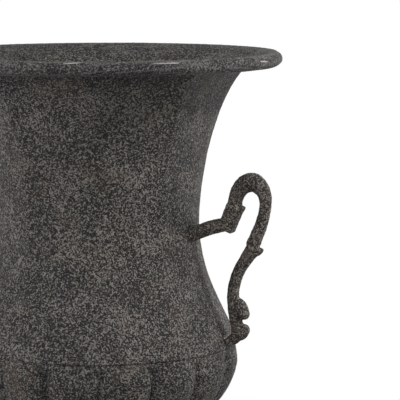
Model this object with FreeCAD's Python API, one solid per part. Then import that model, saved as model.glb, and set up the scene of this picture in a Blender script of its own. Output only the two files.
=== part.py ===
import FreeCAD, Part
import math
import os
from FreeCAD import Vector

# Campana (bell-shaped) garden urn of sand-cast iron, on a square plinth.
# Millimetres and degrees. +Z is up, the origin is the middle of the plinth's underside, and the two
# handles stand on +X and -X. Heights are a stack from the ground: plinth, pedestal, bowl, neck, lip.

# ---- Driving dimensions: the stack of heights ----
plinth_height = 45.0
pedestal_height = 123.3
bowl_lower_depth = 101.9     # underside of the bowl's floor up to its widest ring
bowl_upper_depth = 10.0      # widest ring up to the shoulder seam
neck_lower_height = 134.0    # shoulder seam up to the waist
neck_upper_height = 177.6    # waist up to the middle of the rolled lip
roll_radius = 8.2            # outside radius of the rolled lip

# ---- Driving dimensions: rim and neck ----
rim_radius = 200.5           # outermost radius of the rolled lip
roll_wall = 2.0
wire_radius = 5.9
waist_radius = 110.1         # over the panel ridges
shoulder_radius = 150.0      # neck's lower edge
neck_wall = 3.5
lip_land = 0.5               # flat left on top of the neck's turned-out edge
flare_start_power = 1.59     # how late the flare starts above the waist
flare_end_power = 0.492      # how hard it turns out at the lip
shoulder_swell = 1.33        # fullness of the curve from waist to shoulder
side_panel_half_angle = 30.5  # the two panels that carry the handles are the wide ones
panel_flatness = 0.9         # 1 is a flat panel at the lip, 0 a round neck
panel_fade_power = 1.3       # how fast the panels round off towards the shoulder
foot_ring_thickness = 9.4
foot_ring_height = 18.0

# ---- Driving dimensions: bowl ----
belly_swell = 2.7            # how far the lobes' crowns stand out past the shoulder
lobe_count = 16
lobe_depth = 6.0
bowl_seat_radius = 42.0
bowl_wall = 4.3              # under the valleys between the lobes
bowl_floor_thickness = 6.0
ledge_thickness = 6.0
spigot_wall = 4.0
spigot_height = 16.3         # carries the handles' foot screws
drain_hole_radius = 6.0
drain_hole_count = 4
drain_circle_radius = 22.0

# ---- Driving dimensions: shoulder lugs and bolts ----
lug_count = 4
lug_length = 21.0
lug_width = 22.0
neck_lug_thickness = 7.0
shoulder_bolt_radius = 3.0
shoulder_bolt_hole_radius = 3.3
shoulder_bolt_inset = 14.5   # bolt's axis inwards of the spigot's outside

# ---- Driving dimensions: pedestal and plinth ----
pedestal_wall = 5.0
pedestal_top_radius = 36.0
knop_radius = 45.0
knop_height = 16.0
knop_land = 3.0              # plain collar above the knop
knop_neck = 6.0              # plain stretch below the knop
stem_radius = 31.0
cove_height_share = 0.35     # the cove's middle point, as shares of its height and width
cove_width_share = 0.24
flare_radius = 84.0
base_torus_radius = 94.0
base_torus_height = 18.0
base_band_radius = 89.0      # plain band that stands on the plinth
base_band_height = 4.0
plinth_width = 205.0
plinth_wall = 5.0
plinth_edge_round = 8.0
plinth_drain_circle_radius = 55.0
tie_rod_radius = 5.0
tie_rod_hole_radius = 5.6
tie_bar_length = 150.0
tie_bar_width = 32.0
tie_bar_thickness = 6.0
rod_end_stub = 4.0

# ---- Driving dimensions: handles and their screws ----
arm_height_below_waist = 10.1
foot_height_above_seam = 10.5
arm_root_radius = 9.6
handle_screw_radius = 4.0
handle_screw_hole_radius = 4.3
arm_screw_rise = 3.0         # the arm slopes up, so its screw sits above the arm's root
arm_screw_length = 20.0
foot_screw_length = 25.0
tapping_spare = 1.0          # tapped hole beyond the screw's tip
screw_pad_radius = 12.5
screw_pad_height = 2.5

# ---- Driving dimensions: nuts, heads and washers, as (across flats, height) and (radius, thickness) ----
shoulder_hex = (10.0, 4.5)
handle_hex = (13.0, 5.5)
tie_rod_hex = (17.0, 8.0)
shoulder_washer = (6.0, 1.6)
handle_washer = (8.0, 1.6)
tie_rod_washer = (15.0, 2.5)

# ---- Clearances ----
casting_gap = 0.3            # between cast faces that seat on or in each other
thread_gap = 0.05            # between a thread and its nut, washer or tapped hole

# ---- Heights and radii that follow ----
bowl_floor_z = plinth_height + pedestal_height
belly_z = bowl_floor_z + bowl_lower_depth
seam_z = belly_z + bowl_upper_depth
waist_z = seam_z + neck_lower_height
roll_z = waist_z + neck_upper_height
lip_under_z = roll_z - neck_wall / 2
roll_centre_radius = rim_radius - roll_radius
lip_radius = roll_centre_radius - wire_radius - casting_gap
belly_radius = shoulder_radius + belly_swell
spigot_radius = shoulder_radius - foot_ring_thickness - casting_gap
spigot_inner_radius = spigot_radius - spigot_wall
lug_joint_z = seam_z + spigot_height
arm_z = waist_z - arm_height_below_waist
arm_screw_z = arm_z + arm_screw_rise
foot_z = seam_z + foot_height_above_seam


# ---- Shared shapes ----
def revolve(wire):
    """A solid of revolution about the Z axis from a closed wire in the XZ plane."""
    return Part.Face(wire).revolve(Vector(0, 0, 0), Vector(0, 0, 1), 360)


def outline(points):
    """A closed straight-sided wire in the XZ plane through (radius, z) points."""
    corners = [Vector(radius, 0, z) for radius, z in points]
    return Part.makePolygon(corners + corners[:1])


def ring(inner_radius, outer_radius, low_z, high_z):
    outer = Part.makeCylinder(outer_radius, high_z - low_z, Vector(0, 0, low_z))
    inner = Part.makeCylinder(inner_radius, high_z - low_z, Vector(0, 0, low_z))
    return outer.cut(inner)


def hexagon(across_flats, height, low_z):
    corner = across_flats / math.sqrt(3)
    points = [Vector(corner * math.cos(k * math.pi / 3), corner * math.sin(k * math.pi / 3), low_z)
              for k in range(7)]
    return Part.Face(Part.makePolygon(points)).extrude(Vector(0, 0, height))


def washer(size, bore, low_z):
    return ring(bore, size[0], low_z, low_z + size[1])


def nut(size, bore, low_z):
    return hexagon(size[0], size[1], low_z).cut(Part.makeCylinder(bore, size[1], Vector(0, 0, low_z)))


def polar_copies(shape, count, first_angle):
    copies = []
    for k in range(count):
        copy = shape.copy()
        copy.rotate(Vector(0, 0, 0), Vector(0, 0, 1), first_angle + k * 360.0 / count)
        copies.append(copy)
    return copies


def lying_on_x(shape, x, z):
    """Turns a shape that stands on Z so that its axis runs along +X, and puts its base at (x, 0, z)."""
    turned = shape.copy()
    turned.rotate(Vector(0, 0, 0), Vector(0, 1, 0), 90)
    turned.translate(Vector(x, 0, z))
    return turned


def both_sides(shape):
    return polar_copies(shape, 2, 0)


def arc_section(radius_at, edges, z):
    """A closed section of arcs. Each arc runs between two edge angles and bulges to its middle."""
    def point(radius, angle):
        turn = math.radians(angle)
        return Vector(radius * math.cos(turn), radius * math.sin(turn), z)

    arcs = []
    for start, end in zip(edges, edges[1:] + [edges[0] + 360.0]):
        corner_radius, middle_radius = radius_at(end - start)
        middle = (start + end) / 2
        arcs.append(Part.Arc(point(corner_radius, start), point(middle_radius, middle),
                             point(corner_radius, end)).toShape())
    return Part.Wire(arcs)


# ---- Neck: the profile over the ridges, and the eight panels ----
def upper_station(fraction):
    """The point of the flare whose radius lies this fraction of the way from the waist to the lip."""
    rise = (1 - (1 - fraction) ** (1 / flare_end_power)) ** (1 / flare_start_power)
    radius = waist_radius + (lip_radius - waist_radius) * fraction
    return radius, waist_z + (lip_under_z - waist_z) * rise


def lower_station(fraction):
    """The point of the shoulder curve this fraction of the way down from the waist to the seam."""
    swell = fraction ** 2 * (1 + shoulder_swell * fraction ** 2 * (1 - fraction))
    return waist_radius + (shoulder_radius - waist_radius) * swell, waist_z - neck_lower_height * fraction


def flatness(radius, z):
    rise = max(0.0, (z - seam_z) / (lip_under_z - seam_z))
    spread = max(0.0, (radius - waist_radius) / (lip_radius - waist_radius)) if z > waist_z else 0.0
    lip_fade = min(1.0, max(0.0, (0.95 - spread) / 0.35))
    return panel_flatness * rise ** panel_fade_power * lip_fade


side_panel = 2 * side_panel_half_angle
front_panel = (180.0 - side_panel) / 3
panel_edges = [-side_panel_half_angle]
for width in 2 * [side_panel, front_panel, front_panel, front_panel]:
    panel_edges.append(panel_edges[-1] + width)
panel_edges.pop()

upper_steps = [0.02, 0.06, 0.13, 0.22, 0.33, 0.45, 0.57, 0.68, 0.78, 0.87, 0.94, 1.0]
lower_steps = [1.0, 0.9, 0.78, 0.64, 0.5, 0.36, 0.2]
neck_stations = [lower_station(step) for step in lower_steps] + [upper_station(step) for step in upper_steps]


def neck_section(radius, z, offset, flat):
    def radius_at(width):
        middle = radius * (1 - flat * (1 - math.cos(math.radians(width / 2))))
        return radius + offset, middle + offset
    return arc_section(radius_at, panel_edges, z)


def neck_wires(offset):
    """Sections of the neck's outside, moved out by an offset."""
    return [neck_section(radius, z, offset, flatness(radius, z)) for radius, z in neck_stations]


def neck_inner_wires():
    """The same sections moved inwards, square to the profile, by the wall's thickness."""
    wires = []
    last = len(neck_stations) - 1
    for k, (radius, z) in enumerate(neck_stations):
        below = neck_stations[max(k - 1, 0)]
        above = neck_stations[min(k + 1, last)]
        slope = math.atan2(above[0] - below[0], above[1] - below[1])
        flat = flatness(radius, z)
        if k == 0:
            wires.append(neck_section(radius, z, -neck_wall / math.cos(slope), flat))
        elif k < last:
            wires.append(neck_section(radius, z + neck_wall * math.sin(slope),
                                      -neck_wall * math.cos(slope), flat))
    return wires


def neck_shell():
    lip_top_z = lip_under_z + neck_wall
    inside = neck_inner_wires()
    inside.append(neck_section(lip_radius - lip_land, lip_top_z, 0.0, 0.0))
    lip = Part.makeCylinder(lip_radius, neck_wall, Vector(0, 0, lip_under_z))
    return Part.makeLoft(neck_wires(0.0), True).fuse(lip).cut(Part.makeLoft(inside, True))


def neck_envelope():
    """Everything inside the neck's outside, with the seating gap: what the handles are cut back from."""
    return Part.makeLoft(neck_wires(casting_gap), True)


def wall_radius(z):
    """Outside radius of the neck at the middle of a handle's panel."""
    nearest = min(neck_stations, key=lambda station: abs(station[1] - z))
    index = neck_stations.index(nearest)
    other = neck_stations[index + 1] if z > nearest[1] else neck_stations[index - 1]
    share = (z - nearest[1]) / (other[1] - nearest[1])
    radius = nearest[0] + share * (other[0] - nearest[0])
    return radius * (1 - flatness(radius, z) * (1 - math.cos(math.radians(side_panel_half_angle))))


arm_pad_x = wall_radius(arm_screw_z) - neck_wall - screw_pad_height
foot_pad_x = spigot_inner_radius - screw_pad_height


first_lug_angle = 180.0 / lug_count


def lug(low_z, thickness, outer_radius):
    block = Part.makeBox(lug_length, lug_width, thickness,
                         Vector(outer_radius - lug_length, -lug_width / 2, low_z))
    bolt_x = spigot_radius - shoulder_bolt_inset
    hole = Part.makeCylinder(shoulder_bolt_hole_radius, thickness, Vector(bolt_x, 0, low_z))
    return block.cut(hole)


def handle_screw_holes():
    hole = Part.makeCylinder(handle_screw_hole_radius, shoulder_radius - foot_pad_x + 2 * casting_gap)
    holes = [lying_on_x(hole, arm_pad_x - casting_gap, arm_screw_z),
             lying_on_x(hole, foot_pad_x - casting_gap, foot_z)]
    return [copy for hole in holes for copy in both_sides(hole)]


def make_neck_bell():
    bell = neck_shell()
    foot_ring = ring(shoulder_radius - foot_ring_thickness, shoulder_radius - neck_wall,
                     seam_z, seam_z + foot_ring_height)
    foot_ring = foot_ring.common(Part.makeLoft(neck_wires(-neck_wall / 3), True))
    bell = bell.fuse(foot_ring)
    bell = bell.fuse(polar_copies(lug(lug_joint_z, neck_lug_thickness, spigot_radius),
                                  lug_count, first_lug_angle))
    arm_pad = lying_on_x(Part.makeCylinder(screw_pad_radius, screw_pad_height + neck_wall / 2),
                         arm_pad_x, arm_screw_z)
    bell = bell.fuse(both_sides(arm_pad))
    return bell.cut(handle_screw_holes())


# ---- Rolled lip and its wire ----
def make_rim_roll():
    outside = Part.Face(Part.Wire(Part.makeCircle(roll_radius, Vector(roll_centre_radius, 0, roll_z),
                                                  Vector(0, 1, 0))))
    inside = Part.Face(Part.Wire(Part.makeCircle(roll_radius - roll_wall,
                                                 Vector(roll_centre_radius, 0, roll_z), Vector(0, 1, 0))))
    slot_half = neck_wall / 2 + casting_gap
    slot = Part.Face(outline([(roll_centre_radius - 2 * roll_radius, roll_z - slot_half),
                              (roll_centre_radius, roll_z - slot_half),
                              (roll_centre_radius, roll_z + slot_half),
                              (roll_centre_radius - 2 * roll_radius, roll_z + slot_half)]))
    curl = outside.cut(inside).cut(slot)
    return curl.revolve(Vector(0, 0, 0), Vector(0, 0, 1), 360)


def make_rim_wire():
    return Part.makeTorus(roll_centre_radius, wire_radius, Vector(0, 0, roll_z))


# ---- Bowl ----
lower_bowl_sections = 9
# How the lobes run out above the widest ring: (share of the way to the seam, share of the lobes' depth).
lobe_fade = [(0.0, 1.0), (0.3, 0.75), (0.55, 0.4), (0.75, 0.1), (1.0, 0.0)]


def bowl_profile(turn, side_radius, depth):
    """A point on the bowl's lower curve, a quarter ellipse, at this turn below its widest ring."""
    return side_radius * math.cos(turn), belly_z - depth * math.sin(turn)


def make_lobed_bowl():
    pitch = 360.0 / lobe_count
    lobe_edges = [k * pitch for k in range(lobe_count)]
    seat_turn = math.acos(bowl_seat_radius / belly_radius)
    curve_depth = bowl_lower_depth / math.sin(seat_turn)

    def section(radius, z, depth):
        return arc_section(lambda width: (radius - depth, radius), lobe_edges, z)

    wires = []
    for k in range(lower_bowl_sections):
        turn = seat_turn * (1 - k / lower_bowl_sections)
        radius, z = bowl_profile(turn, belly_radius, curve_depth)
        wires.append(section(radius, z, lobe_depth * math.sqrt(radius / belly_radius)))
    for share, depth_share in lobe_fade:
        radius = belly_radius - (belly_radius - shoulder_radius) * share ** 2
        wires.append(section(radius, belly_z + bowl_upper_depth * share, lobe_depth * depth_share))
    outside = Part.makeLoft(wires, True)

    hollow_radius = belly_radius - lobe_depth - bowl_wall
    hollow_depth = curve_depth - bowl_wall
    floor_z = bowl_floor_z + bowl_floor_thickness
    floor_turn = math.asin((belly_z - floor_z) / hollow_depth)
    floor_radius, _ = bowl_profile(floor_turn, hollow_radius, hollow_depth)
    bend_radius, bend_z = bowl_profile(floor_turn / 2, hollow_radius, hollow_depth)
    ledge_low_z = seam_z - ledge_thickness
    top_z = seam_z + spigot_height
    wall = Part.Arc(Vector(floor_radius, 0, floor_z), Vector(bend_radius, 0, bend_z),
                    Vector(hollow_radius, 0, belly_z)).toShape()
    rest = Part.makePolygon([Vector(hollow_radius, 0, belly_z),
                             Vector(spigot_inner_radius, 0, ledge_low_z),
                             Vector(spigot_inner_radius, 0, top_z),
                             Vector(0, 0, top_z), Vector(0, 0, floor_z),
                             Vector(floor_radius, 0, floor_z)])
    hollow = revolve(Part.Wire([wall] + rest.Edges))

    spigot = ring(spigot_inner_radius, spigot_radius, seam_z - ledge_thickness / 2, top_z)
    bowl = outside.cut(hollow).fuse(spigot)
    bowl = bowl.fuse(polar_copies(lug(seam_z, spigot_height, spigot_inner_radius + spigot_wall / 2),
                                  lug_count, first_lug_angle))
    foot_pad = lying_on_x(Part.makeCylinder(screw_pad_radius, screw_pad_height + spigot_wall / 2),
                          foot_pad_x, foot_z)
    below_the_top = Part.makeCylinder(spigot_radius, top_z - bowl_floor_z, Vector(0, 0, bowl_floor_z))
    bowl = bowl.fuse(both_sides(foot_pad.common(below_the_top)))
    drain = Part.makeCylinder(drain_hole_radius, bowl_floor_thickness,
                              Vector(drain_circle_radius, 0, bowl_floor_z))
    middle = Part.makeCylinder(tie_rod_hole_radius, bowl_floor_thickness, Vector(0, 0, bowl_floor_z))
    return bowl.cut(polar_copies(drain, drain_hole_count, 0) + [middle] + handle_screw_holes())


# ---- Shoulder bolts ----
def shoulder_set(piece):
    placed = piece.copy()
    placed.translate(Vector(spigot_radius - shoulder_bolt_inset, 0, 0))
    return Part.makeCompound(polar_copies(placed, lug_count, first_lug_angle))


neck_lug_top_z = lug_joint_z + neck_lug_thickness
shoulder_head_z = neck_lug_top_z + shoulder_washer[1]


def make_shoulder_bolts():
    tip_z = seam_z - shoulder_hex[1] - shoulder_bolt_radius / 2
    shank = Part.makeCylinder(shoulder_bolt_radius, shoulder_head_z - tip_z, Vector(0, 0, tip_z))
    return shoulder_set(shank.fuse(hexagon(shoulder_hex[0], shoulder_hex[1], shoulder_head_z)))


def make_shoulder_washers():
    return shoulder_set(washer(shoulder_washer, shoulder_bolt_radius + thread_gap, neck_lug_top_z))


def make_shoulder_nuts():
    return shoulder_set(nut(shoulder_hex, shoulder_bolt_radius + thread_gap, seam_z - shoulder_hex[1]))


# ---- Handles ----
# Each limb is a round bar of changing thickness along a curve in the handle's own upright plane.
# A point is (outwards, upwards, bar radius): from the arm's root in the upper limbs, and from the foot
# in the lower one, so the handle follows the neck and the shoulder that carry it.
arm_limb = [(-6, -2.2, arm_root_radius), (6, 2.2, 8.4), (17, 6, 7.8), (30, 10.5, 7.9), (46, 15.5, 8.2)]
crook_limb = [(47.5, 3.5, 4.6), (47.5, 12, 8.2), (49, 23, 9.6), (51.3, 32, 9.0), (51.2, 40, 7.5),
              (54.5, 50.5, 8.6), (61.5, 57.4, 10.0), (70.5, 58.6, 10.4), (79.5, 54, 9.0), (84.8, 45, 7.4),
              (85.5, 35, 6.7), (83.5, 24, 6.8), (79.5, 11.5, 7.0), (73, -1, 7.6), (68, -10.5, 8.8)]
scroll_head = [(72.5, -3, 6.6), (66.5, -15, 7.2), (60.5, -27.5, 6.9)]
scroll_limb = [(15.2, 75, 6.6), (11.2, 62, 6.5), (9.4, 49.5, 6.6), (9.8, 38, 7.0), (11.6, 24, 7.4),
               (13.2, 11, 7.4), (9.5, 2.5, 7.0), (0.5, 1.0, 6.6), (-8, 1.0, 6.6)]
knobs = [(16.8, 34, 10.2), (17.2, 12.3, 10.2)]
collar_bump = (65.0, -6.5, 5.6)
elbow_lip = (56.5, 31.5, 5.2)
leaf_spur = [(70.0, -13.5, 5.2), (84.0, -14.0, 2.6)]


def placed(points, root_x, root_z):
    return [(Vector(root_x + out, 0, root_z + up), bar_radius) for out, up, bar_radius in points]


def limb(stations):
    """A solid bar lofted through circles that stand square to a smooth curve."""
    curve = Part.BSplineCurve()
    curve.interpolate([centre for centre, _ in stations])
    wires = []
    for centre, bar_radius in stations:
        direction = curve.tangent(curve.parameter(centre))[0]
        circle = Part.Circle(centre, direction, bar_radius)
        circle.XAxis = Vector(0, 1, 0)
        wires.append(Part.Wire(circle.toShape()))
    return Part.makeLoft(wires, True)


def ball(place, root_x, root_z):
    out, up, size = place
    return Part.makeSphere(size, Vector(root_x + out, 0, root_z + up))


def tapped_hole(screw_length, pad_x, z):
    depth = screw_length - handle_washer[1] + tapping_spare
    return lying_on_x(Part.makeCylinder(handle_screw_radius + thread_gap, depth), pad_x, z)


def make_handle():
    arm_x = wall_radius(arm_z)
    foot_x = wall_radius(foot_z)
    spur_start, spur_tip = leaf_spur
    spur = Part.makeCone(spur_start[2], spur_tip[2], spur_tip[0] - spur_start[0],
                         Vector(arm_x + spur_start[0], 0, arm_z + spur_start[1]), Vector(1, 0, 0))
    scroll = placed(scroll_head, arm_x, arm_z) + placed(scroll_limb, foot_x, foot_z)
    handle = limb(placed(crook_limb, arm_x, arm_z))
    handle = handle.fuse([limb(placed(arm_limb, arm_x, arm_z)), limb(scroll), spur,
                          ball(spur_tip, arm_x, arm_z), ball(crook_limb[0], arm_x, arm_z),
                          ball(collar_bump, arm_x, arm_z), ball(elbow_lip, arm_x, arm_z)]
                         + [ball(knob, foot_x, foot_z) for knob in knobs])
    bowl_room = Part.makeCylinder(belly_radius + casting_gap, bowl_lower_depth,
                                  Vector(0, 0, seam_z + casting_gap - bowl_lower_depth))
    handle = handle.cut([neck_envelope(), bowl_room])
    return handle.cut([tapped_hole(arm_screw_length, arm_pad_x, arm_screw_z),
                       tapped_hole(foot_screw_length, foot_pad_x, foot_z)])


def turned(shape):
    copy = shape.copy()
    copy.rotate(Vector(0, 0, 0), Vector(0, 0, 1), 180)
    return copy


def make_handle_screws(length, pad_x, z):
    """Two hex screws that point outwards, each with a washer between its head and the pad."""
    shank = Part.makeCylinder(handle_screw_radius, length)
    screw = shank.fuse(hexagon(handle_hex[0], handle_hex[1], -handle_hex[1]))
    return Part.makeCompound(both_sides(lying_on_x(screw, pad_x - handle_washer[1], z)))


def make_handle_washers():
    plain = washer(handle_washer, handle_screw_radius + thread_gap, -handle_washer[1])
    places = [(arm_pad_x, arm_screw_z), (foot_pad_x, foot_z)]
    return Part.makeCompound([copy for x, z in places for copy in both_sides(lying_on_x(plain, x, z))])


# ---- Pedestal and plinth ----
def make_pedestal():
    top_z = bowl_floor_z
    knop_top_z = top_z - knop_land
    knop_low_z = knop_top_z - knop_height
    knop_middle_z = (knop_top_z + knop_low_z) / 2
    stem_z = knop_low_z - knop_neck
    torus_low_z = plinth_height + base_band_height
    torus_top_z = torus_low_z + base_torus_height
    torus_edge_radius = base_torus_radius - base_torus_height / 2
    cove_z = torus_top_z + cove_height_share * (stem_z - torus_top_z)
    cove_radius = stem_radius + cove_width_share * (flare_radius - stem_radius)
    inner_stem_radius = stem_radius - pedestal_wall
    inner_flare_z = torus_top_z - pedestal_wall
    drain_room_radius = drain_circle_radius + drain_hole_radius

    def polyline(*points):
        return Part.makePolygon([Vector(radius, 0, z) for radius, z in points]).Edges

    def bulge(radius, edge_radius, high_z, low_z):
        return Part.Arc(Vector(edge_radius, 0, high_z), Vector(radius, 0, (high_z + low_z) / 2),
                        Vector(edge_radius, 0, low_z)).toShape()

    def cove(start_radius, middle_radius, end_radius, end_z):
        """A concave flare that starts straight down and ends nearly level."""
        curve = Part.BSplineCurve()
        curve.interpolate(Points=[Vector(start_radius, 0, stem_z), Vector(middle_radius, 0, cove_z),
                                  Vector(end_radius, 0, end_z)],
                          InitialTangent=Vector(0, 0, -1), FinalTangent=Vector(1, 0, -0.2))
        return curve.toShape()

    edges = polyline((drain_room_radius, top_z), (pedestal_top_radius, top_z),
                     (pedestal_top_radius, knop_top_z))
    edges += [bulge(knop_radius, pedestal_top_radius, knop_top_z, knop_low_z)]
    edges += polyline((pedestal_top_radius, knop_low_z), (stem_radius, knop_low_z), (stem_radius, stem_z))
    edges += [cove(stem_radius, cove_radius, flare_radius, torus_top_z)]
    edges += polyline((flare_radius, torus_top_z), (torus_edge_radius, torus_top_z))
    edges += [bulge(base_torus_radius, torus_edge_radius, torus_top_z, torus_low_z)]
    edges += polyline((torus_edge_radius, torus_low_z), (base_band_radius, torus_low_z),
                      (base_band_radius, plinth_height), (flare_radius - pedestal_wall, plinth_height),
                      (flare_radius - pedestal_wall, inner_flare_z))
    edges += [cove(inner_stem_radius, cove_radius - pedestal_wall, flare_radius - pedestal_wall,
                   inner_flare_z)]
    edges += polyline((inner_stem_radius, stem_z), (inner_stem_radius, knop_middle_z),
                      (drain_room_radius, top_z))
    return revolve(Part.Wire(Part.__sortEdges__(edges)))


def make_plinth():
    half = plinth_width / 2
    block = Part.makeBox(plinth_width, plinth_width, plinth_height, Vector(-half, -half, 0))
    top_edges = [edge for edge in block.Edges if edge.BoundBox.ZMin > plinth_height / 2]
    block = block.makeFillet(plinth_edge_round, top_edges)
    inside = half - plinth_wall
    cavity = Part.makeBox(2 * inside, 2 * inside, plinth_height - plinth_wall, Vector(-inside, -inside, 0))
    drain = Part.makeCylinder(drain_hole_radius, plinth_height,
                              Vector(plinth_drain_circle_radius, 0, 0))
    middle = Part.makeCylinder(tie_rod_hole_radius, plinth_height)
    drains = polar_copies(drain, drain_hole_count, 180.0 / drain_hole_count)
    return block.cut([cavity, middle] + drains)


# ---- Tie rod through bowl, pedestal and plinth ----
plinth_ceiling_z = plinth_height - plinth_wall
bar_low_z = plinth_ceiling_z - tie_bar_thickness
low_washer_z = bar_low_z - tie_rod_washer[1]
low_nut_z = low_washer_z - tie_rod_hex[1]
top_washer_z = bowl_floor_z + bowl_floor_thickness
top_nut_z = top_washer_z + tie_rod_washer[1]
rod_bore = tie_rod_radius + thread_gap


def make_tie_bar():
    bar = Part.makeBox(tie_bar_length, tie_bar_width, tie_bar_thickness,
                       Vector(-tie_bar_length / 2, -tie_bar_width / 2, bar_low_z))
    return bar.cut(Part.makeCylinder(tie_rod_hole_radius, tie_bar_thickness, Vector(0, 0, bar_low_z)))


def make_tie_rod():
    low_z = low_nut_z - rod_end_stub
    high_z = top_nut_z + tie_rod_hex[1] + rod_end_stub
    return Part.makeCylinder(tie_rod_radius, high_z - low_z, Vector(0, 0, low_z))


handle = make_handle()
pieces = {
    "rim_roll": make_rim_roll(),
    "rim_wire": make_rim_wire(),
    "neck_bell": make_neck_bell(),
    "lobed_bowl": make_lobed_bowl(),
    "shoulder_bolts": make_shoulder_bolts(),
    "shoulder_washers": make_shoulder_washers(),
    "shoulder_nuts": make_shoulder_nuts(),
    "handle_right": handle,
    "handle_left": turned(handle),
    "handle_arm_screws": make_handle_screws(arm_screw_length, arm_pad_x, arm_screw_z),
    "handle_foot_screws": make_handle_screws(foot_screw_length, foot_pad_x, foot_z),
    "handle_washers": make_handle_washers(),
    "pedestal": make_pedestal(),
    "plinth": make_plinth(),
    "tie_bar": make_tie_bar(),
    "tie_rod": make_tie_rod(),
    "tie_rod_top_washer": washer(tie_rod_washer, rod_bore, top_washer_z),
    "tie_rod_top_nut": nut(tie_rod_hex, rod_bore, top_nut_z),
    "tie_rod_bottom_washer": washer(tie_rod_washer, rod_bore, low_washer_z),
    "tie_rod_bottom_nut": nut(tie_rod_hex, rod_bore, low_nut_z),
}

os.makedirs("parts", exist_ok=True)
for name, shape in pieces.items():
    shape.exportStep("parts/" + name + ".step")
    box = shape.BoundBox
    print(f"{name}: {len(shape.Solids)} solid(s), valid {shape.isValid()}, {shape.Volume / 1000:.1f} cm3,"
          f" x {box.XMin:.1f}..{box.XMax:.1f} y {box.YMin:.1f}..{box.YMax:.1f} z {box.ZMin:.1f}..{box.ZMax:.1f}")
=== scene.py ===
# %% [markdown]
# # Dressing a cast iron urn planter
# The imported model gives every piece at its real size, in metres, with +Z up and the handles on the X axis.
# It is the fixed frame of this lesson. Each casting is modelled again around it with the rough skin that
# sand leaves on iron, and the bolts, screws and the tie rod stay as they are and only get a finish.

# %% Load the frame
import math

import bpy
import numpy as np
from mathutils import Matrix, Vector, noise


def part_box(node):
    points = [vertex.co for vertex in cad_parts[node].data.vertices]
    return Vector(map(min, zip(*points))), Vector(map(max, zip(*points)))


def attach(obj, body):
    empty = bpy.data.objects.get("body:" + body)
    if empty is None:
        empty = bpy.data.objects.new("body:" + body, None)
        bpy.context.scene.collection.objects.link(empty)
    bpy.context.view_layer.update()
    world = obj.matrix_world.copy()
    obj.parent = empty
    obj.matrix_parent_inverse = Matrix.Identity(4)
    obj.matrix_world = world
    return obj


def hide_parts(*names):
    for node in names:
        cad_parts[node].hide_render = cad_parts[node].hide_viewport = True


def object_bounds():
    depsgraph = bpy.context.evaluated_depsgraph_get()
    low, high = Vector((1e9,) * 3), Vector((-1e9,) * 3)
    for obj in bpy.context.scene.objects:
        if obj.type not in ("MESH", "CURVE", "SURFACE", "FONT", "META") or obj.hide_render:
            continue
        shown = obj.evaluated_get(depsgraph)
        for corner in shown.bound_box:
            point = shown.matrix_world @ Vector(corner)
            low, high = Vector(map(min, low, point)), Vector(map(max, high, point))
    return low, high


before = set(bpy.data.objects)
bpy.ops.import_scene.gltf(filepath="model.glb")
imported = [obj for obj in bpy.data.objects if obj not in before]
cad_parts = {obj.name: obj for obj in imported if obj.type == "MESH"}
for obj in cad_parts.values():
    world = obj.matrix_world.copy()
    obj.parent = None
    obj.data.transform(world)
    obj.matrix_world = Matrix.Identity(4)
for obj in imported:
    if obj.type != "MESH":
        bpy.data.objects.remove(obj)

cad_low, cad_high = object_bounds()
MM = 0.001
print("pieces in the frame:", len(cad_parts), "- height", round(cad_high.z, 4), "m")

# %% [markdown]
# ## Sizes that more than one casting needs
# The urn is a stack of castings, so the places of its joints come from the frame: the seam between bowl
# and neck is the underside of the neck, and the rolled lip's middle is the middle of its wire. Only the
# shapes between those places, such as the waist and the flare, are written here.

# %% Joints read from the frame
neck_low, neck_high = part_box("neck_bell")
bowl_low, bowl_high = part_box("lobed_bowl")
wire_low, wire_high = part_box("rim_wire")
plinth_low, plinth_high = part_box("plinth")
lip_low, lip_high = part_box("rim_roll")

seam_z = neck_low.z
roll_z = (wire_low.z + wire_high.z) / 2
roll_radius = (lip_high.z - lip_low.z) / 2
rim_radius = roll_radius + wire_high.x - (wire_high.z - wire_low.z) / 2
rim_radius = min(rim_radius, cad_high.x)
roll_centre_radius = rim_radius - roll_radius
neck_wall = 3.5 * MM
lip_radius = neck_high.x
lip_under_z = neck_high.z - neck_wall
waist_z = seam_z + 134 * MM
# The solid's waist is 110.1 mm. With a little more, the rough outline meets the photograph's better.
waist_radius = 110.8 * MM
shoulder_radius = 150 * MM
belly_radius = 152.7 * MM
print("seam", round(seam_z, 4), "waist", waist_z, "lip", round(lip_radius, 4), round(lip_under_z, 4))

# %% [markdown]
# ## Drawing and turning a profile
# Most of an urn is round, and a turner would cut it to a profile. Here one corner is drawn from point to
# point with the extrude tool, which gives the profile, and Spin turns it about the Z axis. A closed
# profile turns into a closed wall, so the casting has its real thickness at once.

# %% Helpers for modelling by operators
def start_clean():
    if bpy.context.object and bpy.context.object.mode != "OBJECT":
        bpy.ops.object.mode_set(mode="OBJECT")
    bpy.ops.object.select_all(action="DESELECT")


def named(piece, name):
    piece.name = name
    piece.data.name = name
    return piece


def pick(piece):
    start_clean()
    piece.select_set(True)
    bpy.context.view_layer.objects.active = piece


def joined(pieces, name):
    start_clean()
    for piece in pieces:
        piece.select_set(True)
    bpy.context.view_layer.objects.active = pieces[0]
    bpy.ops.object.join()
    return named(bpy.context.object, name)


def bevelled(piece, width, segments):
    edge = piece.modifiers.new("edges", "BEVEL")
    edge.width = width
    edge.segments = segments
    bpy.ops.object.modifier_apply(modifier=edge.name)
    return piece


def settle():
    bpy.ops.object.transform_apply(location=True, rotation=True, scale=True)


def choose_faces(piece, rule):
    """Enters edit mode with only those faces selected that the rule picks."""
    bpy.ops.object.mode_set(mode="EDIT")
    bpy.ops.mesh.select_mode(type="FACE")
    bpy.ops.mesh.select_all(action="DESELECT")
    bpy.ops.object.mode_set(mode="OBJECT")
    for face in piece.data.polygons:
        face.select = rule(face)
    bpy.ops.object.mode_set(mode="EDIT")


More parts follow.
